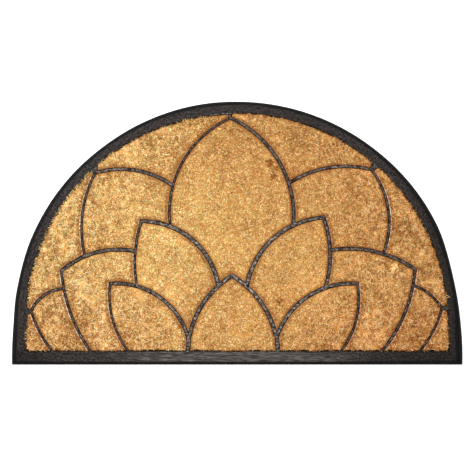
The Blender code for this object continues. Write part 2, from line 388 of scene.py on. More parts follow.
def rubber_material():
    """Return the tray's rubber: slopes and rib sides painted black as shade, a scuffed front border with
    a painted sheen, and crests with a painted highlight.
    """
    material, tree, shader, place = new_material(
        "moulded_rubber", RUBBER_ROUGHNESS, RUBBER_SPECULAR
    )
    axes = split(tree, place)
    from_front, from_arc = insets(tree, axes)
    run, turn = border_run(tree, axes, from_front, from_arc)
    mottle = noise_node(tree, place, MOTTLE)
    streaks = noise_node(tree, run, STREAKS)
    tread_and_sheen = remap(tree, distance_to(tree, place, TREAD_AND_SHEEN_CENTRE), *TREAD_AND_SHEEN_REACH)
    on_front, dim, on_top = border_masks(tree, axes, from_front, from_arc)
    # The pale streaks round the middle of the front strip are partly scuffs and partly a painted sheen of
    # the light.
    scuff_and_sheen = product(tree, remap(tree, streaks, *STREAK_SCUFFS_AND_SHEEN), tread_and_sheen, on_front, on_top)
    colour = border_colour(tree, turn, dim, on_top, scuff_and_sheen)
    within = calc(tree, "MINIMUM", from_front, from_arc)
    inside = remap(tree, within, *INSIDE_BORDER)
    # Below the crests, the sides of the ribs and the sheet between them are painted black as shade.
    hollow_shade = product(tree, inside, remap(tree, axes[2], *BELOW_CREST))
    colour = mix(tree, hollow_shade, colour, RUBBER_IN_SHADOW)
    # The grey of the crests is a painted highlight, brightest round the middle towards the front.
    crest = crest_share(tree, place, axes[2], inside, from_arc, mottle)
    crest_gleam = remap(tree, distance_to(tree, place, CREST_GLEAM_CENTRE), *CREST_GLEAM_REACH)
    crest_colour = mix(tree, crest_gleam, CREST_HIGHLIGHT_DIM, CREST_HIGHLIGHT_BRIGHT)
    colour = mix(tree, crest, colour, crest_colour)
    colour = mix(tree, rim_highlight(tree, place, from_arc), colour, RIM_HIGHLIGHT)
    shade = rubber_shade(tree, run, product(tree, on_front, tread_and_sheen), mottle)
    grain = noise_node(tree, place, RUBBER_GRAIN)
    height = calc(tree, "ADD", grain, product(tree, streaks, on_front))
    finish_surface(tree, shader, scale_colour(tree, colour, shade), height, *RUBBER_BUMP)
    return material


rubber = rubber_material()
print("rubber nodes:", len(rubber.node_tree.nodes))

# %% [markdown]
# The tray came in as loose triangles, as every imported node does. A copy is
# welded, so that its rounded ribs shade as one smooth skin, and the edges
# between flat and slope stay sharp. The mould was mitred at the two front
# corners, and it left a fine groove there, so a thin blade is cut out of the
# copy along each mitre.

# %% Dress the tray
WELD = 0.01 * MM
SHARP_ANGLE = math.radians(30)
MITRE_WIDTH = 0.9 * MM
MITRE_DEPTH = 0.5 * MM
MITRE_DEGREES = {-1: 45, 1: 135}
ON_EDGE = math.radians(45)


def welded_copy(name):
    """Return a bmesh copy of a node with its loose triangles joined."""
    bm = bmesh.new()
    bm.from_mesh(nodes[name].data)
    bmesh.ops.remove_doubles(bm, verts=bm.verts, dist=WELD)
    return bm


def to_mesh(name, bm):
    """Move a bmesh into a new mesh."""
    mesh = bpy.data.meshes.new(name)
    bm.to_mesh(mesh)
    bm.free()
    return mesh


def add_object(name, data):
    """Link a mesh, a light or a camera into the scene as an object."""
    thing = bpy.data.objects.new(name, data)
    bpy.context.scene.collection.objects.link(thing)
    return thing


def add_piece(name, bm, material):
    """Turn a bmesh into a finished object that rides on the mat."""
    piece = add_object(name, to_mesh(name, bm))
    piece.data.materials.append(material)
    piece.data.shade_smooth()
    piece.data.set_sharp_from_angle(angle=SHARP_ANGLE)
    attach(piece, "root")
    return piece


def evaluated_mesh(thing):
    """Return a plain mesh of an object as its modifiers make it."""
    bpy.context.view_layer.update()
    shaped = thing.evaluated_get(bpy.context.evaluated_depsgraph_get())
    return bpy.data.meshes.new_from_object(shaped)


def mitre_blade(side):
    """Return a thin square bar that lies on edge along a front corner's mitre."""
    bm = bmesh.new()
    bmesh.ops.create_cube(bm, size=1.0)
    length = BORDER_WIDTH * math.sqrt(2)
    bmesh.ops.scale(bm, vec=(length, MITRE_WIDTH, MITRE_WIDTH), verts=bm.verts)
    for angle, axis in ((ON_EDGE, "X"), (math.radians(MITRE_DEGREES[side]), "Z")):
        turn = Matrix.Rotation(angle, 3, axis)
        bmesh.ops.rotate(bm, cent=(0, 0, 0), matrix=turn, verts=bm.verts)
    half = MITRE_WIDTH * math.sqrt(0.5)
    middle = (
        side * (ARC_RADIUS - BORDER_WIDTH / 2),
        FRONT_Y + BORDER_WIDTH / 2,
        BORDER_TOP + half - MITRE_DEPTH,
    )
    bmesh.ops.translate(bm, vec=middle, verts=bm.verts)
    return add_object("mitre_blade", to_mesh("mitre_blade", bm))


def cut(piece, cutters):
    """Cut the cutters out of a piece and remove them."""
    for cutter in cutters:
        step = piece.modifiers.new(cutter.name, "BOOLEAN")
        step.operation = "DIFFERENCE"
        step.solver = "EXACT"
        step.object = cutter
    mesh = evaluated_mesh(piece)
    piece.modifiers.clear()
    piece.data = mesh
    for cutter in cutters:
        bpy.data.objects.remove(cutter, do_unlink=True)


def keep_steepness(mesh):
    """Keep on every point how far its rib runs from front to back rather than sideways."""
    sums = [[0.0, 0.0] for _ in mesh.vertices]
    for face in mesh.polygons:
        corners = [mesh.vertices[i].co for i in face.vertices]
        sides = [(b - a).xy for a, b in zip(corners, corners[1:] + corners[:1])]
        longest = max(sides, key=lambda side: side.length)
        steep = longest.y ** 2 / max(longest.length_squared, WELD ** 2)
        for i in face.vertices:
            sums[i][0] += steep * face.area
            sums[i][1] += face.area
    kept = mesh.attributes.new("steep", "FLOAT", "POINT")
    for i, (total, area) in enumerate(sums):
        kept.data[i].value = total / max(area, WELD ** 2)


tray = add_piece("tray", welded_copy(TRAY), rubber)
cut(tray, [mitre_blade(-1), mitre_blade(1)])
tray.data.set_sharp_from_angle(angle=SHARP_ANGLE)
keep_steepness(tray.data)
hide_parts(TRAY)
print("tray faces:", len(tray.data.polygons))

# %% [markdown]
# Coir is the husk fibre of the coconut. Cut pile shows every tone from cream to
# brown, fibre by fibre, and it looks darkest deep down between the tufts, so the
# bed under the fibres is painted dark as shade. Each planted fibre carries its own
# tone and hue. Clumps and stains are added in the material, from object
# coordinates, and so is painted light: a fall-off from a pale left to a darker,
# orange right, and beside each rib a pale lip of painted highlight and a darker
# band of painted shade, from the distance to the rib.

# %% Tones and hues of the coir
COIR_ROUGHNESS = 0.85
COIR_SPECULAR = 0.06
COIR_BUMP = (0.4, 0.1 * MM)
COIR_GRAIN = Pattern(1500.0, 2.0, 0.6, (1.0, 1.0, 0.2))
DEEP_SHADE_TONE = 0.10
COIR_TONES = [
    (0.00, (0.20, 0.080, 0.020)),
    (0.25, (0.52, 0.293, 0.079)),
    (0.50, (0.86, 0.602, 0.196)),
    (0.75, (1.00, 0.86, 0.42)),
    (1.00, (1.00, 0.98, 0.72)),
]

# What changes the tone: the way up the fibre, darker at the root as painted shade
# and paler at the bleached tip, clumps and patches, painted shade beside a rib, and
# duller pile at the crown and in the front corners.
MAT_MIDDLE = (0.0, 0.0, 0.0)
CALM_TO_WILD = (0.12, 0.30)
WILD_SHARES = (0.35, 1.0)
ROOT_TO_TIP = (0.0, 1.0, -0.22, 0.12)
CLUMPS = Pattern(85.0, 3.0, 0.65)
CLUMP_TONES = (0.3, 0.7, -0.12, 0.12)
PATCHES = Pattern(24.0, 3.0, 0.5)
PATCH_TONES = (0.3, 0.7, -0.07, 0.07)
BAND_WIDTH = (8 * MM, 2.5 * MM)
RIM_SHADE_WIDTH = (4.5 * MM, 0.0)
CROWN_DULL = (0.09, 0.17, 0.0, 0.05)
CORNER_DULL = (-0.06, -0.12, 0.0, 0.04)
CORNER_SIDES = (0.22, 0.31)

# What changes the hue: a painted fall-off of light across the mat, darker and more
# orange to the right, stains, and a red front.
FALLOFF_LEFT = (1.01, 1.03, 1.08)
FALLOFF_MIDDLE = (1.0, 1.0, 1.0)
FALLOFF_RIGHT = (0.87, 0.75, 0.69)
TOWARDS_LEFT = (-0.02, -0.14)
TOWARDS_RIGHT = (-0.22, 0.36)
HUE_RED = (1.06, 0.945, 0.91)
HUE_GREEN = (0.95, 1.045, 0.995)
STAINS = Pattern(110.0, 3.0, 0.6)
STAIN_HUES = (0.35, 0.65, -0.45, 0.45)
RED_FRONT = (-0.09, -0.17, 0.0, -0.36)
RED_SIDES = (0.06, 0.2)
GREEN_FRONT = (-0.11, -0.06)
GREEN_BACK = (0.12, 0.03)
GREEN_MIDDLE = (0.22, 0.12, 0.0, 0.24)

# The broken pale lip beside a rib, a painted highlight where the pile's edge faces
# the light, and the painted shade where the bed lies bare.
LIP_HIGHLIGHT = (0.92, 0.86, 0.68)
LIP_WIDTH = (2.1 * MM, 1.2 * MM)
LIP_BREAKS = (0.45, 0.57, 0.05, 1.0)
BARE_SHADES = (-0.3 * MM, 0.7 * MM, 0.06, 1.0)
BARE_LEAST = (1.0 * MM, 0.6 * MM)

# Stains, pale tufts and broad darker and paler patches, in millimetres, each with
# its change of tone.
Spot = namedtuple("Spot", "name x y reach tone")
SPOTS = [
    Spot("stain_high", 56.5, 116, 8, -0.95),
    Spot("stain_middle", 64, 106, 11, -0.25),
    Spot("stain_low", 62.5, 93, 9, -0.65),
    Spot("curl_left", 77, 37, 5, 0.40),
    Spot("curl_right", 110, 33, 5, 0.40),
    Spot("speck", 71, -121, 6, -0.9),
    Spot("speck_high", 88, 84, 5, -0.5),
    Spot("tuft_pale", 264, -63, 8, 0.60),
    Spot("top_dark", -29, 130, 45, -0.05),
    Spot("top_pale", -71, 61, 35, 0.05),
    Spot("middle_left_pale", -122, -16, 45, 0.05),
    Spot("upper_left_pale", -190, 40, 75, 0.04),
    Spot("upper_left_speck", -200, 16.5, 10, -0.18),
    Spot("lower_left_pale", -247, -84, 40, 0.07),
    Spot("bottom_left_pale", -145, -95, 80, 0.06),
    Spot("outer_left_dark", -280, -168, 35, -0.08),
    Spot("outer_left_edge", -317, -148, 20, -0.08),
    Spot("corner_left_dark", -345, -165, 30, -0.12),
    Spot("side_left_pale", -325, -25, 22, 0.10),
    Spot("upper_left_dim", -112, 85, 70, -0.06),
    Spot("middle_pale", -36, -25, 60, 0.07),
    Spot("front_left_dark", -270, -200, 45, -0.12),
    Spot("front_left_warm", -180, -203, 45, -0.10),
    Spot("field_left_pale", -183, 132, 22, 0.08),
    Spot("field_left_brown", -148, 158, 16, -0.10),
    Spot("field_left_dark", -114, 148, 20, -0.07),
    Spot("side_right_dark", 284, -7, 30, -0.12),
    Spot("side_right_pale", 314, -41, 25, 0.14),
    Spot("bottom_right_pale", 145, -95, 80, 0.07),
    Spot("lower_right_pale", 260, -101, 26, 0.14),
    Spot("lower_right_dark", 223, -118, 25, -0.05),
    Spot("outer_right_dark", 332, -134, 22, -0.06),
]
SPOT_EDGES = Pattern(280.0, 3.0, 0.6)
SPOT_STRAYS = (0.35, 0.65, -3.5 * MM, 3.5 * MM)


# %% The coir
def spots_tone(tree, place):
    """Return how much the stains, the pale tufts and the broad patches change the tone at a place."""
    change = 0.0
    ragged = patterned(tree, place, SPOT_EDGES, SPOT_STRAYS)
    for spot in SPOTS:
        away = distance_to(tree, place, (spot.x * MM, spot.y * MM, PILE_TOP))
        away = calc(tree, "ADD", away, ragged)
        part = remap(tree, away, spot.reach * MM, 0.0, 0.0, spot.tone)
        change = calc(tree, "ADD", change, part)
    return change


def pile_tone(tree, place, axes, edge, base_tone, fibre_share):
    """Return the tone: a base, the fibre's own share, the clump's and the stains', less the painted shade
    beside a rib and the dullness of the crown and the front corners.
    """
    # Along a fibre: darker at the root, as painted shade, and paler at the bleached tip.
    up_fibre = remap(tree, attribute(tree, "along"), *ROOT_TO_TIP)
    own = calc(tree, "ADD", attribute(tree, "tone"), up_fibre)
    tone = calc(tree, "MULTIPLY_ADD", own, fibre_share, base_tone)
    clump = patterned(tree, place, CLUMPS, CLUMP_TONES)
    patch = patterned(tree, place, PATCHES, PATCH_TONES)
    wild = remap(tree, distance_to(tree, place, MAT_MIDDLE), *CALM_TO_WILD, *WILD_SHARES)
    cloud = product(tree, calc(tree, "ADD", clump, patch), wild)
    sideways = calc(tree, "ABSOLUTE", axes[0])
    # The band and the rim are painted shade beside a rib.
    shades = (
        product(tree, remap(tree, edge, *BAND_WIDTH), attribute(tree, "band")),
        product(tree, remap(tree, edge, *RIM_SHADE_WIDTH), attribute(tree, "rim")),
        remap(tree, axes[1], *CROWN_DULL),
        product(tree, remap(tree, axes[1], *CORNER_DULL), remap(tree, sideways, *CORNER_SIDES)),
    )
    for change in (cloud, spots_tone(tree, place)):
        tone = calc(tree, "ADD", tone, change)
    for shade in shades:
        tone = calc(tree, "SUBTRACT", tone, shade)
    return tone


def painted_falloff(tree, axes):
    """Return a painted fall-off of light across the mat, from a pale left to a darker, orange right."""
    tint = mix(tree, remap(tree, axes[0], *TOWARDS_RIGHT), FALLOFF_MIDDLE, FALLOFF_RIGHT)
    return mix(tree, remap(tree, axes[0], *TOWARDS_LEFT), tint, FALLOFF_LEFT)


def low_hue(tree, axes):
    """Return how the hue drifts from red near the front edge to green in the middle."""
    sideways = calc(tree, "ABSOLUTE", axes[0])
    red = product(tree, remap(tree, axes[1], *RED_FRONT), remap(tree, sideways, *RED_SIDES))
    green = product(
        tree,
        remap(tree, axes[1], *GREEN_FRONT),
        remap(tree, axes[1], *GREEN_BACK),
        remap(tree, sideways, *GREEN_MIDDLE),
    )
    return calc(tree, "ADD", red, green)


def cast(tree, place, axes):
    """Return the cast from red to green: the fibre's own, the stains' and the front's."""
    stained = patterned(tree, place, STAINS, STAIN_HUES)
    hue = calc(tree, "ADD", attribute(tree, "hue"), stained)
    hue = calc(tree, "ADD", hue, low_hue(tree, axes))
    return mix(tree, hue, HUE_RED, HUE_GREEN)


def bare_shade(tree, edge):
    """Return the painted shade that darkens a bed where it lies bare beside the border."""
    bare = attribute(tree, "bare")
    shade = remap(tree, calc(tree, "SUBTRACT", edge, bare), *BARE_SHADES)
    return calc(tree, "MAXIMUM", shade, remap(tree, bare, *BARE_LEAST))


def coir_material(name, base_tone, fibre_share):
    """Return coir whose tone is a base and a share of the fibre's own tone."""
    material, tree, shader, place = new_material(name, COIR_ROUGHNESS, COIR_SPECULAR)
    axes = split(tree, place)
    edge = attribute(tree, "edge")
    tone = pile_tone(tree, place, axes, edge, base_tone, fibre_share)
    colour = ramp(tree, tone, COIR_TONES)
    for tint in (painted_falloff(tree, axes), cast(tree, place, axes)):
        colour = mix(tree, 1.0, colour, tint, "MULTIPLY")
    # The lip is a painted highlight: pale pile along a rib, where its edge faces the light.
    near = remap(tree, edge, *LIP_WIDTH)
    broken = patterned(tree, place, FLECKS, LIP_BREAKS)
    lip = product(tree, attribute(tree, "lip"), near, broken)
    colour = mix(tree, lip, colour, LIP_HIGHLIGHT)
    if not fibre_share:
        colour = scale_colour(tree, colour, bare_shade(tree, edge))
    finish_surface(tree, shader, colour, noise_node(tree, place, COIR_GRAIN), *COIR_BUMP)
    return material


# The bed stands for the pile deep down, and is painted in its dark tone as shade.
coir_shaded_bed = coir_material("coir_shaded_bed", DEEP_SHADE_TONE, 0.0)
coir_pile = coir_material("coir_pile", 0.0, 1.0)
print("coir nodes:", len(coir_shaded_bed.node_tree.nodes), len(coir_pile.node_tree.nodes))

# %% [markdown]
# Each panel starts as a welded copy of its slab, so its outline and its gap to
# the ribs stay true. Plane cuts lay a fine grid over its top, and the grid is
# then pushed about: the tufts make soft lumps, and the rim is worn round. The
# distance to the nearest rib is kept on every point, because the fibres and
# their colour need it too. So are the marks of the seam beside it: the pale
# lip, a painted highlight, the dark band and the shaded rim, both painted shade,
# the bare strip, and the spill.

# %% Sizes of the beds
GRID_STEP = 2.4 * MM
BED_SINK = 1.3 * MM
LUMP_HEIGHT = 0.5 * MM
LUMP_SIZE = 5 * MM
FINE_LUMPS = 2.3
FINE_LUMP_SHARE = 0.5
RIM_WEAR = 0.9 * MM
RIM_WIDTH = 2.2 * MM
FLAT_ANGLE = math.radians(0.1)
WALL_NORMAL = 0.5
TOP_SLACK = 1 * MM

# The bare strip, and how it waves beside the border and grows in a corner.
BARE_RIM = 0.5 * MM
BARE_ARC = 1.5 * MM
BARE_FRONT = 1.9 * MM
WAVE_SIZE = 14 * MM
WAVE_SHARE = 1.3
RIPPLE_SIZE = 5 * MM
RIPPLE_SHARE = 0.9
CORNER_REACH = 13 * MM
CORNER_BARE = 3.5 * MM

# The marks of a seam: the lip is a painted highlight, and the band and the rim are
# painted shade. Light falls on the two halves of the mat differently.
SEAM_MARKS = ("lip", "band", "rim", "bare")
BESIDE_ARC = 2.5 * MM
BESIDE_FRONT = 1 * MM
RIM_AT_FRONT = 0.16
RIM_AT_ARC = 0.14
RIM_LEAST = 0.04
LIP_LEAST = 0.12
LIP_GROWS_FROM = 0.12
LIP_GROWS_OVER = 0.14
BAND_LEAST = 0.5
BAND_GROWS_OVER = 0.25
Half = namedtuple("Half", "lip band_beside band_above rim")
LEFT_HALF = Half(0.65, 0.28, 0.14, 0.09)
RIGHT_HALF = Half(0.42, 0.17, 0.07, 0.20)

# How much pile spills over the arc, by the angle from the right.
SPILL_REACH = 4 * MM
Spill = namedtuple("Spill", "degrees share")
SPILLS = [
    Spill(0, 0.25),
    Spill(45, 0.30),
    Spill(70, 0.05),
    Spill(88, 0.05),
    Spill(100, 0.55),
    Spill(116, 0.20),
    Spill(144, 0.90),
    Spill(180, 0.60),
]


# %% Lay the beds of pile
def wall_tree(bm):
    """Return a search tree of a panel's upright walls."""
    corners = []
    walls = []
    for face in bm.faces:
        if abs(face.normal.z) < WALL_NORMAL:
            walls.append([len(corners) + i for i in range(len(face.verts))])
            corners += [vert.co.copy() for vert in face.verts]
    return BVHTree.FromPolygons(corners, walls)


def cut_grid(bm, low, high):
    """Cut the top of a panel into a grid."""
    top = [face for face in bm.faces if face.normal.z > WALL_NORMAL]
    geom = top + list({edge for face in top for edge in face.edges})
    geom += list({vert for face in top for vert in face.verts})
    for axis, along in enumerate((Vector((1.0, 0.0, 0.0)), Vector((0.0, 1.0, 0.0)))):
        steps = int((high[axis] - low[axis]) / GRID_STEP)
        for i in range(1, steps + 1):
            where = along * (low[axis] + i * GRID_STEP)
            done = bmesh.ops.bisect_plane(bm, geom=geom, dist=WELD, plane_co=where, plane_no=along)
            geom = done["geom"]


def from_arc_centre(nearest):
    """Return a place as seen from the arc's centre, and whether it lies beside the arc."""
    off_centre = Vector((nearest.x, max(0.0, nearest.y - ARC_CENTRE_Y)))
    return off_centre, off_centre.length > ARC_RADIUS - BORDER_WIDTH - BESIDE_ARC


def spill(nearest):
    """Return how far pile may fall over the rubber where a wall meets it."""
    off_centre, beside_arc = from_arc_centre(nearest)
    if not beside_arc:
        return 0.0
    degrees = math.degrees(math.atan2(off_centre.y, off_centre.x))
    for first, second in zip(SPILLS, SPILLS[1:]):
        if degrees <= second.degrees:
            part = (degrees - first.degrees) / (second.degrees - first.degrees)
            return first.share + (second.share - first.share) * part
    return SPILLS[-1].share


def border_bare(place, nearest, bare):
    """Return how far the pile stands off the border: it waves, and grows in a corner."""
    corner = Vector((math.copysign(ARC_RADIUS - BORDER_WIDTH, place.x), FRONT_Y + BORDER_WIDTH))
    in_corner = max(0.0, 1.0 - (place.xy - corner).length / CORNER_REACH)
    wave = WAVE_SHARE * noise.noise(nearest / WAVE_SIZE)
    wave += RIPPLE_SHARE * noise.noise(nearest / RIPPLE_SIZE)
    return bare * max(0.0, 1.0 + wave) + CORNER_BARE * in_corner


def seam(place, nearest):
    """Return the painted highlight of the lip, the painted shade of the band and of the rim, and the bare
    strip beside the nearest wall.
    """
    if nearest.y < FRONT_Y + BORDER_WIDTH + BESIDE_FRONT:
        return 0.0, 0.0, RIM_AT_FRONT, border_bare(place, nearest, BARE_FRONT)
    if from_arc_centre(nearest)[1]:
        return 0.0, 0.0, RIM_AT_ARC, border_bare(place, nearest, BARE_ARC)
    half = LEFT_HALF if place.x < 0.0 else RIGHT_HALF
    towards = (nearest - place).xy.normalized()
    outwards = towards.x * math.copysign(1.0, place.x)
    beside = max(0.0, -outwards) ** 2
    within = max(0.0, outwards) ** 2
    above = max(0.0, -towards.y) ** 2
    far = min(1.0, abs(place.x) / BAND_GROWS_OVER)
    outer = min(1.0, max(0.0, (abs(place.x) - LIP_GROWS_FROM) / LIP_GROWS_OVER))
    lip = beside * (LIP_LEAST + half.lip * outer)
    band_share = BAND_LEAST + (1.0 - BAND_LEAST) * far
    band = beside * half.band_beside + above * half.band_above * band_share
    rim = RIM_LEAST + within * half.rim
    return lip, band, rim, BARE_RIM


def lay_bed(name):
    """Return a lumpy bed for a panel, with the distances to the ribs kept on it."""
    bm = welded_copy(name)
    bmesh.ops.dissolve_limit(bm, angle_limit=FLAT_ANGLE, verts=bm.verts, edges=bm.edges)
    walls = wall_tree(bm)
    low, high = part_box(name)
    cut_grid(bm, low, high)
    edge_layer = bm.verts.layers.float.new("edge")
    seam_layers = [bm.verts.layers.float.new(mark) for mark in SEAM_MARKS]
    spill_layer = bm.verts.layers.float.new("spill")
    for vert in bm.verts:
        if vert.co.z < high.z - TOP_SLACK:
            continue
        nearest, _, _, distance = walls.find_nearest(vert.co)
        vert[edge_layer] = distance
        for layer, value in zip(seam_layers, seam(vert.co, nearest)):
            vert[layer] = value
        vert[spill_layer] = spill(nearest)
        heaped = vert[spill_layer] * max(0.0, 1.0 - distance / SPILL_REACH)
        lump = noise.noise(vert.co / LUMP_SIZE)
        lump += FINE_LUMP_SHARE * noise.noise(FINE_LUMPS * vert.co / LUMP_SIZE)
        wear_and_glint = RIM_WEAR * max(0.0, 1.0 - distance / RIM_WIDTH) ** 2
        vert.co.z += LUMP_HEIGHT * lump - (wear_and_glint + BED_SINK) * (1.0 - heaped)
    bmesh.ops.triangulate(bm, faces=[face for face in bm.faces if len(face.verts) > 4])
    return bm


beds = {name: add_piece(name + "_bed", lay_bed(name), coir_shaded_bed) for name in PANELS}
print("bed faces:", sum(len(bed.data.polygons) for bed in beds.values()))

# %% [markdown]
# The fibres are what the eye reads as coir. Hair curves would not reach the
# exported meshes, and a bump would be flat from the side, so real spikes are
# planted. Most are short bristles that taper to a point. Between them lie longer
# strands that the brush has pulled over, with a bend in the middle.

# %% Two fibre shapes
STRAND_KNEE = 0.45
STRAND_TAPER = 0.85
STRAND_BEND = 0.35
SAME_POINT = 0.001


def bristle():
    """Return a three-sided spike of unit height and unit radius."""
    bm = bmesh.new()
    bmesh.ops.create_cone(bm, cap_ends=True, segments=3, radius1=1.0, radius2=0.0, depth=1.0)
    bmesh.ops.remove_doubles(bm, verts=bm.verts, dist=SAME_POINT)
    bmesh.ops.translate(bm, vec=(0, 0, 0.5), verts=bm.verts)
    return bm


def strand():
    """Return a bent, tapering three-sided strand of unit height and unit radius."""
    bm = bmesh.new()
    bmesh.ops.create_cone(
        bm, cap_ends=True, segments=3, radius1=1.0, radius2=STRAND_TAPER, depth=STRAND_KNEE
    )
    bmesh.ops.translate(bm, vec=(0, 0, STRAND_KNEE / 2), verts=bm.verts)
    top = max(bm.faces, key=lambda face: face.calc_center_median().z)
    tip = bmesh.ops.extrude_discrete_faces(bm, faces=[top])["faces"][0]
    bmesh.ops.translate(bm, vec=(0, STRAND_BEND, 1.0 - STRAND_KNEE), verts=tip.verts)
    bmesh.ops.pointmerge(bm, verts=tip.verts, merge_co=tip.calc_center_median())
    return bm


def template(name, bm):
    """Return an unlinked object that holds one fibre, with the way up it kept on its points."""
    along_layer = bm.verts.layers.float.new("along")
    for vert in bm.verts:
        vert[along_layer] = vert.co.z
    return bpy.data.objects.new(name, to_mesh(name, bm))


templates = {"bristle": template("bristle", bristle()), "strand": template("strand", strand())}
for name, thing in templates.items():
    print(name, "faces:", len(thing.data.polygons))

# %% [markdown]
# One node group plants every kind of fibre. A kind's numbers are its density
# and its ranges of radius, length, lean, swirl and tone. A cell pattern turns a
# whole tuft one way, and chance turns the fibre inside it. Beside a rib the
# fibres stand up and are shorter, and some fall out over the border. The points
# are scattered with a fixed seed, and each random draw adds its own number.

# %% Kinds of fibre
Kind = namedtuple(
    "Kind",
    "shape per_m2 thinnest thickest shortest longest upright flattest swirl darkest lightest",
)
KINDS = [
    Kind("bristle", 4.4e5, 0.28, 0.46, 2.0, 3.4, 15, 55, 1.2, 0.06, 1.05),
    Kind("bristle", 2.3e5, 0.28, 0.44, 3.6, 6.0, 50, 78, 0.6, -0.04, 1.07),
    Kind("strand", 8.4e4, 0.30, 0.44, 5.0, 9.5, 66, 85, 0.5, -0.12, 1.10),
    Kind("strand", 1.2e4, 0.36, 0.52, 6.0, 10.0, 74, 86, 0.5, 0.60, 1.10),
    Kind("strand", 1.6e4, 0.38, 0.54, 6.0, 10.0, 72, 85, 0.5, -0.40, 0.12),
]
DRAWS = [
    "points", "turn", "lean", "radius", "length", "tone", "edge_length", "hue",
    "splay", "falls", "fallen_lean", "fallen_length",
]
SEEDS_A_KIND = 15
SEEDS_A_PANEL = 100
TUFTS_PER_M = 450.0
FULL_TURN = 2 * math.pi

# Where fibres stand, and how they grow. Lengths at an edge are in millimetres.
LEVEL_NORMAL = 0.35
ABOVE_BOTTOM = 2 * MM
SPILL_SLACK = 2 * MM
EDGE_NEAR = 0.5 * MM
EDGE_UPRIGHT = (EDGE_NEAR, 4 * MM, 0.4, 1.0)
EDGE_LENGTH = 2.1
EDGE_LENGTH_SPREAD = 0.15
EDGE_REACH_LEAST = 4.0
EDGE_REACH_SHARE = 0.9
BRUSHED_SHARES = (0.62, 1.05)
LOCK_SHARES = (0.06, 0.36)
HUES = (0.25, 0.75)

# The fibres that fall out over the border.
SPLAY = 0.9
FALL_NEAR = (3.2 * MM, 0.6 * MM)
FALLEN_LENGTH = (2.6 * MM, 4.4 * MM)
FALLEN_LEAN = (math.radians(66), math.radians(88))


# %% The planting group
def chance(tree, low, high, seed, draw):
    """Return a random number for each point, from the seed and the draw's own number."""
    inputs = {2: low, 3: high, 8: seed + DRAWS.index(draw)}
    return add_node(tree, "FunctionNodeRandomValue", {"data_type": "FLOAT"}, inputs).outputs[1]


def named_value(tree, name):
    """Return a value that is kept on the bed under that name."""
    inputs = {"Name": name}
    node = add_node(tree, "GeometryNodeInputNamedAttribute", {"data_type": "FLOAT"}, inputs)
    return node.outputs[0]


def choose(tree, chosen, otherwise, value):
    """Return a value where a choice holds, and another elsewhere."""
    options = {"input_type": "FLOAT"}
    inputs = {0: chosen, 1: otherwise, 2: value}
    return add_node(tree, "GeometryNodeSwitch", options, inputs).outputs[0]


def standing_places(tree, place, edge):
    """Return the choice of the places that are level, on top and clear of the bare strip."""
    normal = add_node(tree, "GeometryNodeInputNormal").outputs[0]
    level = calc(tree, "GREATER_THAN", split(tree, normal)[2], LEVEL_NORMAL)
    high = calc(tree, "GREATER_THAN", split(tree, place)[2], PANEL_BOTTOM + ABOVE_BOTTOM)
    reach = calc(tree, "MULTIPLY_ADD", named_value(tree, "spill"), SPILL_SLACK, edge)
    clear = calc(tree, "GREATER_THAN", reach, named_value(tree, "bare"))
    return product(tree, level, high, clear)


def falling(tree, edge, seed):
    """Return the choice of the fibres that fall over the border."""
    likely = product(tree, named_value(tree, "spill"), remap(tree, edge, *FALL_NEAR))
    inputs = {0: chance(tree, 0.0, 1.0, seed, "falls"), 1: likely}
    return add_node(tree, "FunctionNodeCompare", {"operation": "LESS_THAN"}, inputs).outputs[0]


def outward_azimuth(tree, place, seed):
    """Return the azimuth that leans a fibre over the arc, with some chance in it."""
    axes = split(tree, place)
    beyond = calc(tree, "MAXIMUM", calc(tree, "SUBTRACT", axes[1], ARC_CENTRE_Y), 0.0)
    outwards = calc(tree, "ADD", calc(tree, "ARCTAN2", beyond, axes[0]), math.pi / 2)
    return calc(tree, "ADD", outwards, chance(tree, -SPLAY, SPLAY, seed, "splay"))


def fibre_rotation(tree, place, edge, falls, tuft_chance, kind, seed):
    """Return how fibres lean and which way: with their tuft, or out over the border."""
    own_turn = chance(tree, -kind.swirl, kind.swirl, seed, "turn")
    azimuth = calc(tree, "ADD", product(tree, tuft_chance, FULL_TURN), own_turn)
    azimuth = choose(tree, falls, azimuth, outward_azimuth(tree, place, seed))
    leans = (math.radians(kind.upright), math.radians(kind.flattest))
    lean = chance(tree, *leans, seed, "lean")
    lean = product(tree, lean, remap(tree, edge, *EDGE_UPRIGHT))
    lean = choose(tree, falls, lean, chance(tree, *FALLEN_LEAN, seed, "fallen_lean"))
    return vector_of(tree, lean, 0.0, azimuth)


def fibre_scale(tree, edge, falls, far_out, kind, seed):
    """Return the radius and the length of fibres, shorter beside a rib and in the middle."""
    radius = chance(tree, kind.thinnest * MM, kind.thickest * MM, seed, "radius")
    length = chance(tree, kind.shortest * MM, kind.longest * MM, seed, "length")
    uneven = chance(tree, -EDGE_LENGTH_SPREAD, EDGE_LENGTH_SPREAD, seed, "edge_length")
    least = calc(tree, "ADD", 2 * EDGE_LENGTH / (kind.shortest + kind.longest), uneven)
    edge_far = max(EDGE_REACH_LEAST, EDGE_REACH_SHARE * kind.longest) * MM
    room = remap(tree, edge, EDGE_NEAR, edge_far, least, 1.0)
    brushed = remap(tree, far_out, *CALM_TO_WILD, *BRUSHED_SHARES)
    length = product(tree, room, brushed, length)
    fallen = chance(tree, *FALLEN_LENGTH, seed, "fallen_length")
    return vector_of(tree, radius, radius, choose(tree, falls, length, fallen))


def fibre_tone(tree, far_out, tuft_chance, kind, seed):
    """Return the tone of fibres: their own, and their tuft's, more so far out."""
    own_tone = chance(tree, kind.darkest, kind.lightest, seed, "tone")
    lock = calc(tree, "SUBTRACT", tuft_chance, 0.5)
    lock_share = remap(tree, far_out, *CALM_TO_WILD, *LOCK_SHARES)
    return calc(tree, "MULTIPLY_ADD", lock, lock_share, own_tone)


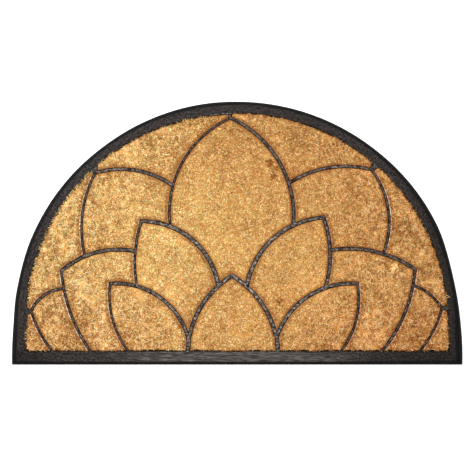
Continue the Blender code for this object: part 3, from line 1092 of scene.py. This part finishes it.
def plant_kind(tree, ground, kind, seed):
    """Add the nodes that plant one kind of fibre, and return the fibres."""
    place = add_node(tree, "GeometryNodeInputPosition").outputs[0]
    edge = named_value(tree, "edge")
    standing = standing_places(tree, place, edge)
    inputs = {"Mesh": ground, "Selection": standing, "Density": kind.per_m2, "Seed": seed}
    points = add_node(tree, "GeometryNodeDistributePointsOnFaces", None, inputs).outputs["Points"]
    inputs = {"Vector": place, "Scale": TUFTS_PER_M}
    tuft = add_node(tree, "ShaderNodeTexVoronoi", None, inputs).outputs["Color"]
    turn_chance, tone_chance, _ = split(tree, tuft)
    measure = add_node(tree, "ShaderNodeVectorMath", {"operation": "LENGTH"}, {0: place})
    far_out = measure.outputs["Value"]
    falls = falling(tree, edge, seed)
    shape = add_node(tree, "GeometryNodeObjectInfo", None, {"Object": templates[kind.shape]})
    inputs = {
        "Points": points,
        "Instance": shape.outputs["Geometry"],
        "Rotation": fibre_rotation(tree, place, edge, falls, turn_chance, kind, seed),
        "Scale": fibre_scale(tree, edge, falls, far_out, kind, seed),
    }
    planted = add_node(tree, "GeometryNodeInstanceOnPoints", None, inputs).outputs[0]
    tone = fibre_tone(tree, far_out, tone_chance, kind, seed)
    hue = chance(tree, *HUES, seed, "hue")
    for name, value in (("tone", tone), ("hue", hue)):
        options = {"data_type": "FLOAT", "domain": "INSTANCE"}
        inputs = {"Geometry": planted, "Name": name, "Value": value}
        planted = add_node(tree, "GeometryNodeStoreNamedAttribute", options, inputs).outputs[0]
    return add_node(tree, "GeometryNodeRealizeInstances", None, {0: planted}).outputs[0]


def planting_group(seed):
    """Return a node group that turns a bed into the fibres on it."""
    tree = bpy.data.node_groups.new("plant_fibres", "GeometryNodeTree")
    tree.interface.new_socket("Bed", in_out="INPUT", socket_type="NodeSocketGeometry")
    tree.interface.new_socket("Fibres", in_out="OUTPUT", socket_type="NodeSocketGeometry")
    ground = tree.nodes.new("NodeGroupInput").outputs[0]
    joined = tree.nodes.new("GeometryNodeJoinGeometry")
    for i, kind in enumerate(KINDS):
        fibres = plant_kind(tree, ground, kind, seed + SEEDS_A_KIND * i)
        tree.links.new(fibres, joined.inputs[0])
    inputs = {0: joined.outputs[0], "Material": coir_pile}
    finished = add_node(tree, "GeometryNodeSetMaterial", None, inputs)
    add_node(tree, "NodeGroupOutput", None, {0: finished.outputs[0]})
    return tree


def plant(name, bed, seed):
    """Return the fibres of one panel as a plain mesh object."""
    ground = add_object("ground", bed.data)
    step = ground.modifiers.new("plant", "NODES")
    step.node_group = planting_group(seed)
    mesh = evaluated_mesh(ground)
    bpy.data.objects.remove(ground, do_unlink=True)
    mesh.name = name
    fibres = add_object(name, mesh)
    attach(fibres, "root")
    return fibres


# %% [markdown]
# The panels are planted one after another, each with its own seed.


fibre_faces = 0
for number, name in enumerate(PANELS, start=1):
    bed = beds[name]
    fibres = plant(name + "_fibres", bed, SEEDS_A_PANEL * number)
    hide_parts(name)
    fibre_faces += len(fibres.data.polygons)
for thing in templates.values():
    bpy.data.objects.remove(thing, do_unlink=True)
print("fibre faces:", fibre_faces)

# %% [markdown]
# A few fibres have come loose, as they do on a mat that has been handled. Each
# is one thin spike that lies where it fell on the border.

# %% Stray fibres
Stray = namedtuple("Stray", "x y degrees length")
STRAYS = [
    Stray(354, -111, -30, 8.5),
    Stray(353, -114, 14, 6.5),
]
STRAY_SIDES = 6
STRAY_RADIUS = 0.32 * MM
STRAY_TAPER = 0.4
STRAY_MARKS = {"tone": 0.7, "along": 1.0, "edge": 10 * MM}
LAID_DOWN = Matrix.Rotation(math.radians(90), 4, "Y")


def stray_fibres():
    """Return the loose fibres as one piece."""
    bm = bmesh.new()
    for stray in STRAYS:
        place = Matrix.Translation((stray.x * MM, stray.y * MM, BORDER_TOP + STRAY_RADIUS))
        turn = Matrix.Rotation(math.radians(stray.degrees), 4, "Z") @ LAID_DOWN
        bmesh.ops.create_cone(
            bm,
            cap_ends=True,
            segments=STRAY_SIDES,
            radius1=STRAY_RADIUS,
            radius2=STRAY_TAPER * STRAY_RADIUS,
            depth=stray.length * MM,
            matrix=place @ turn,
        )
    for mark, value in STRAY_MARKS.items():
        layer = bm.verts.layers.float.new(mark)
        for vert in bm.verts:
            vert[layer] = value
    return add_piece("stray_fibres", bm, coir_pile)


strays = stray_fibres()
print("stray fibres:", len(STRAYS))

# %% [markdown]
# The mat lies on a plain white floor under soft light from above, as on a
# product page. The camera looks down almost square, tipped a little towards
# the front edge, from about two and a quarter metres.

# %% Floor, light and camera
FLOOR_SIZE = 30.0
FLOOR_COLOUR = (0.92, 0.92, 0.92, 1.0)
FLOOR_ROUGHNESS = 0.9
FLOOR_SPECULAR = 0.1
KEY_PLACE = Vector((-0.45, 0.5, 2.3))
KEY_SIZE = 1.0
KEY_POWER = 94.0
SKY_COLOUR = (1.0, 1.0, 1.0, 1.0)
SKY_STRENGTH = 0.56
CAMERA_DISTANCE = 2.25
CAMERA_TILT = math.radians(8.0)
CAMERA_TARGET = Vector((0.0, -0.0075, 0.0))
CAMERA_LENS = 101.55
CAMERA_SHIFT = (-0.0043, 0.0016)


def white_floor():
    """Lay a large white floor that isn't part of the mat."""
    bm = bmesh.new()
    bmesh.ops.create_grid(bm, x_segments=1, y_segments=1, size=FLOOR_SIZE / 2)
    floor = add_object("floor", to_mesh("floor", bm))
    material, _, shader, _ = new_material("floor_white", FLOOR_ROUGHNESS, FLOOR_SPECULAR)
    shader.inputs["Base Color"].default_value = FLOOR_COLOUR
    floor.data.materials.append(material)


def key_light():
    """Hang a square soft light that points at the mat."""
    data = bpy.data.lights.new("key", "AREA")
    data.size = KEY_SIZE
    data.energy = KEY_POWER
    light = add_object("key", data)
    light.location = KEY_PLACE
    light.rotation_euler = (-KEY_PLACE).to_track_quat("-Z", "Y").to_euler()


def sky():
    """Surround the mat with an even white."""
    world = bpy.data.worlds.new("studio")
    bpy.context.scene.world = world
    world.use_nodes = True
    background = world.node_tree.nodes["Background"]
    background.inputs["Color"].default_value = SKY_COLOUR
    background.inputs["Strength"].default_value = SKY_STRENGTH
    bpy.context.scene.view_settings.view_transform = "Standard"


def camera():
    """Place the camera that takes the picture."""
    data = bpy.data.cameras.new("camera")
    data.lens = CAMERA_LENS
    data.shift_x, data.shift_y = CAMERA_SHIFT
    eye = add_object("camera", data)
    back = Vector((0.0, -math.sin(CAMERA_TILT), math.cos(CAMERA_TILT)))
    eye.location = CAMERA_TARGET + back * CAMERA_DISTANCE
    eye.rotation_euler = (CAMERA_TILT, 0.0, 0.0)
    bpy.context.scene.camera = eye


white_floor()
key_light()
sky()
camera()
print("camera at", [round(part, 3) for part in bpy.context.scene.camera.location])
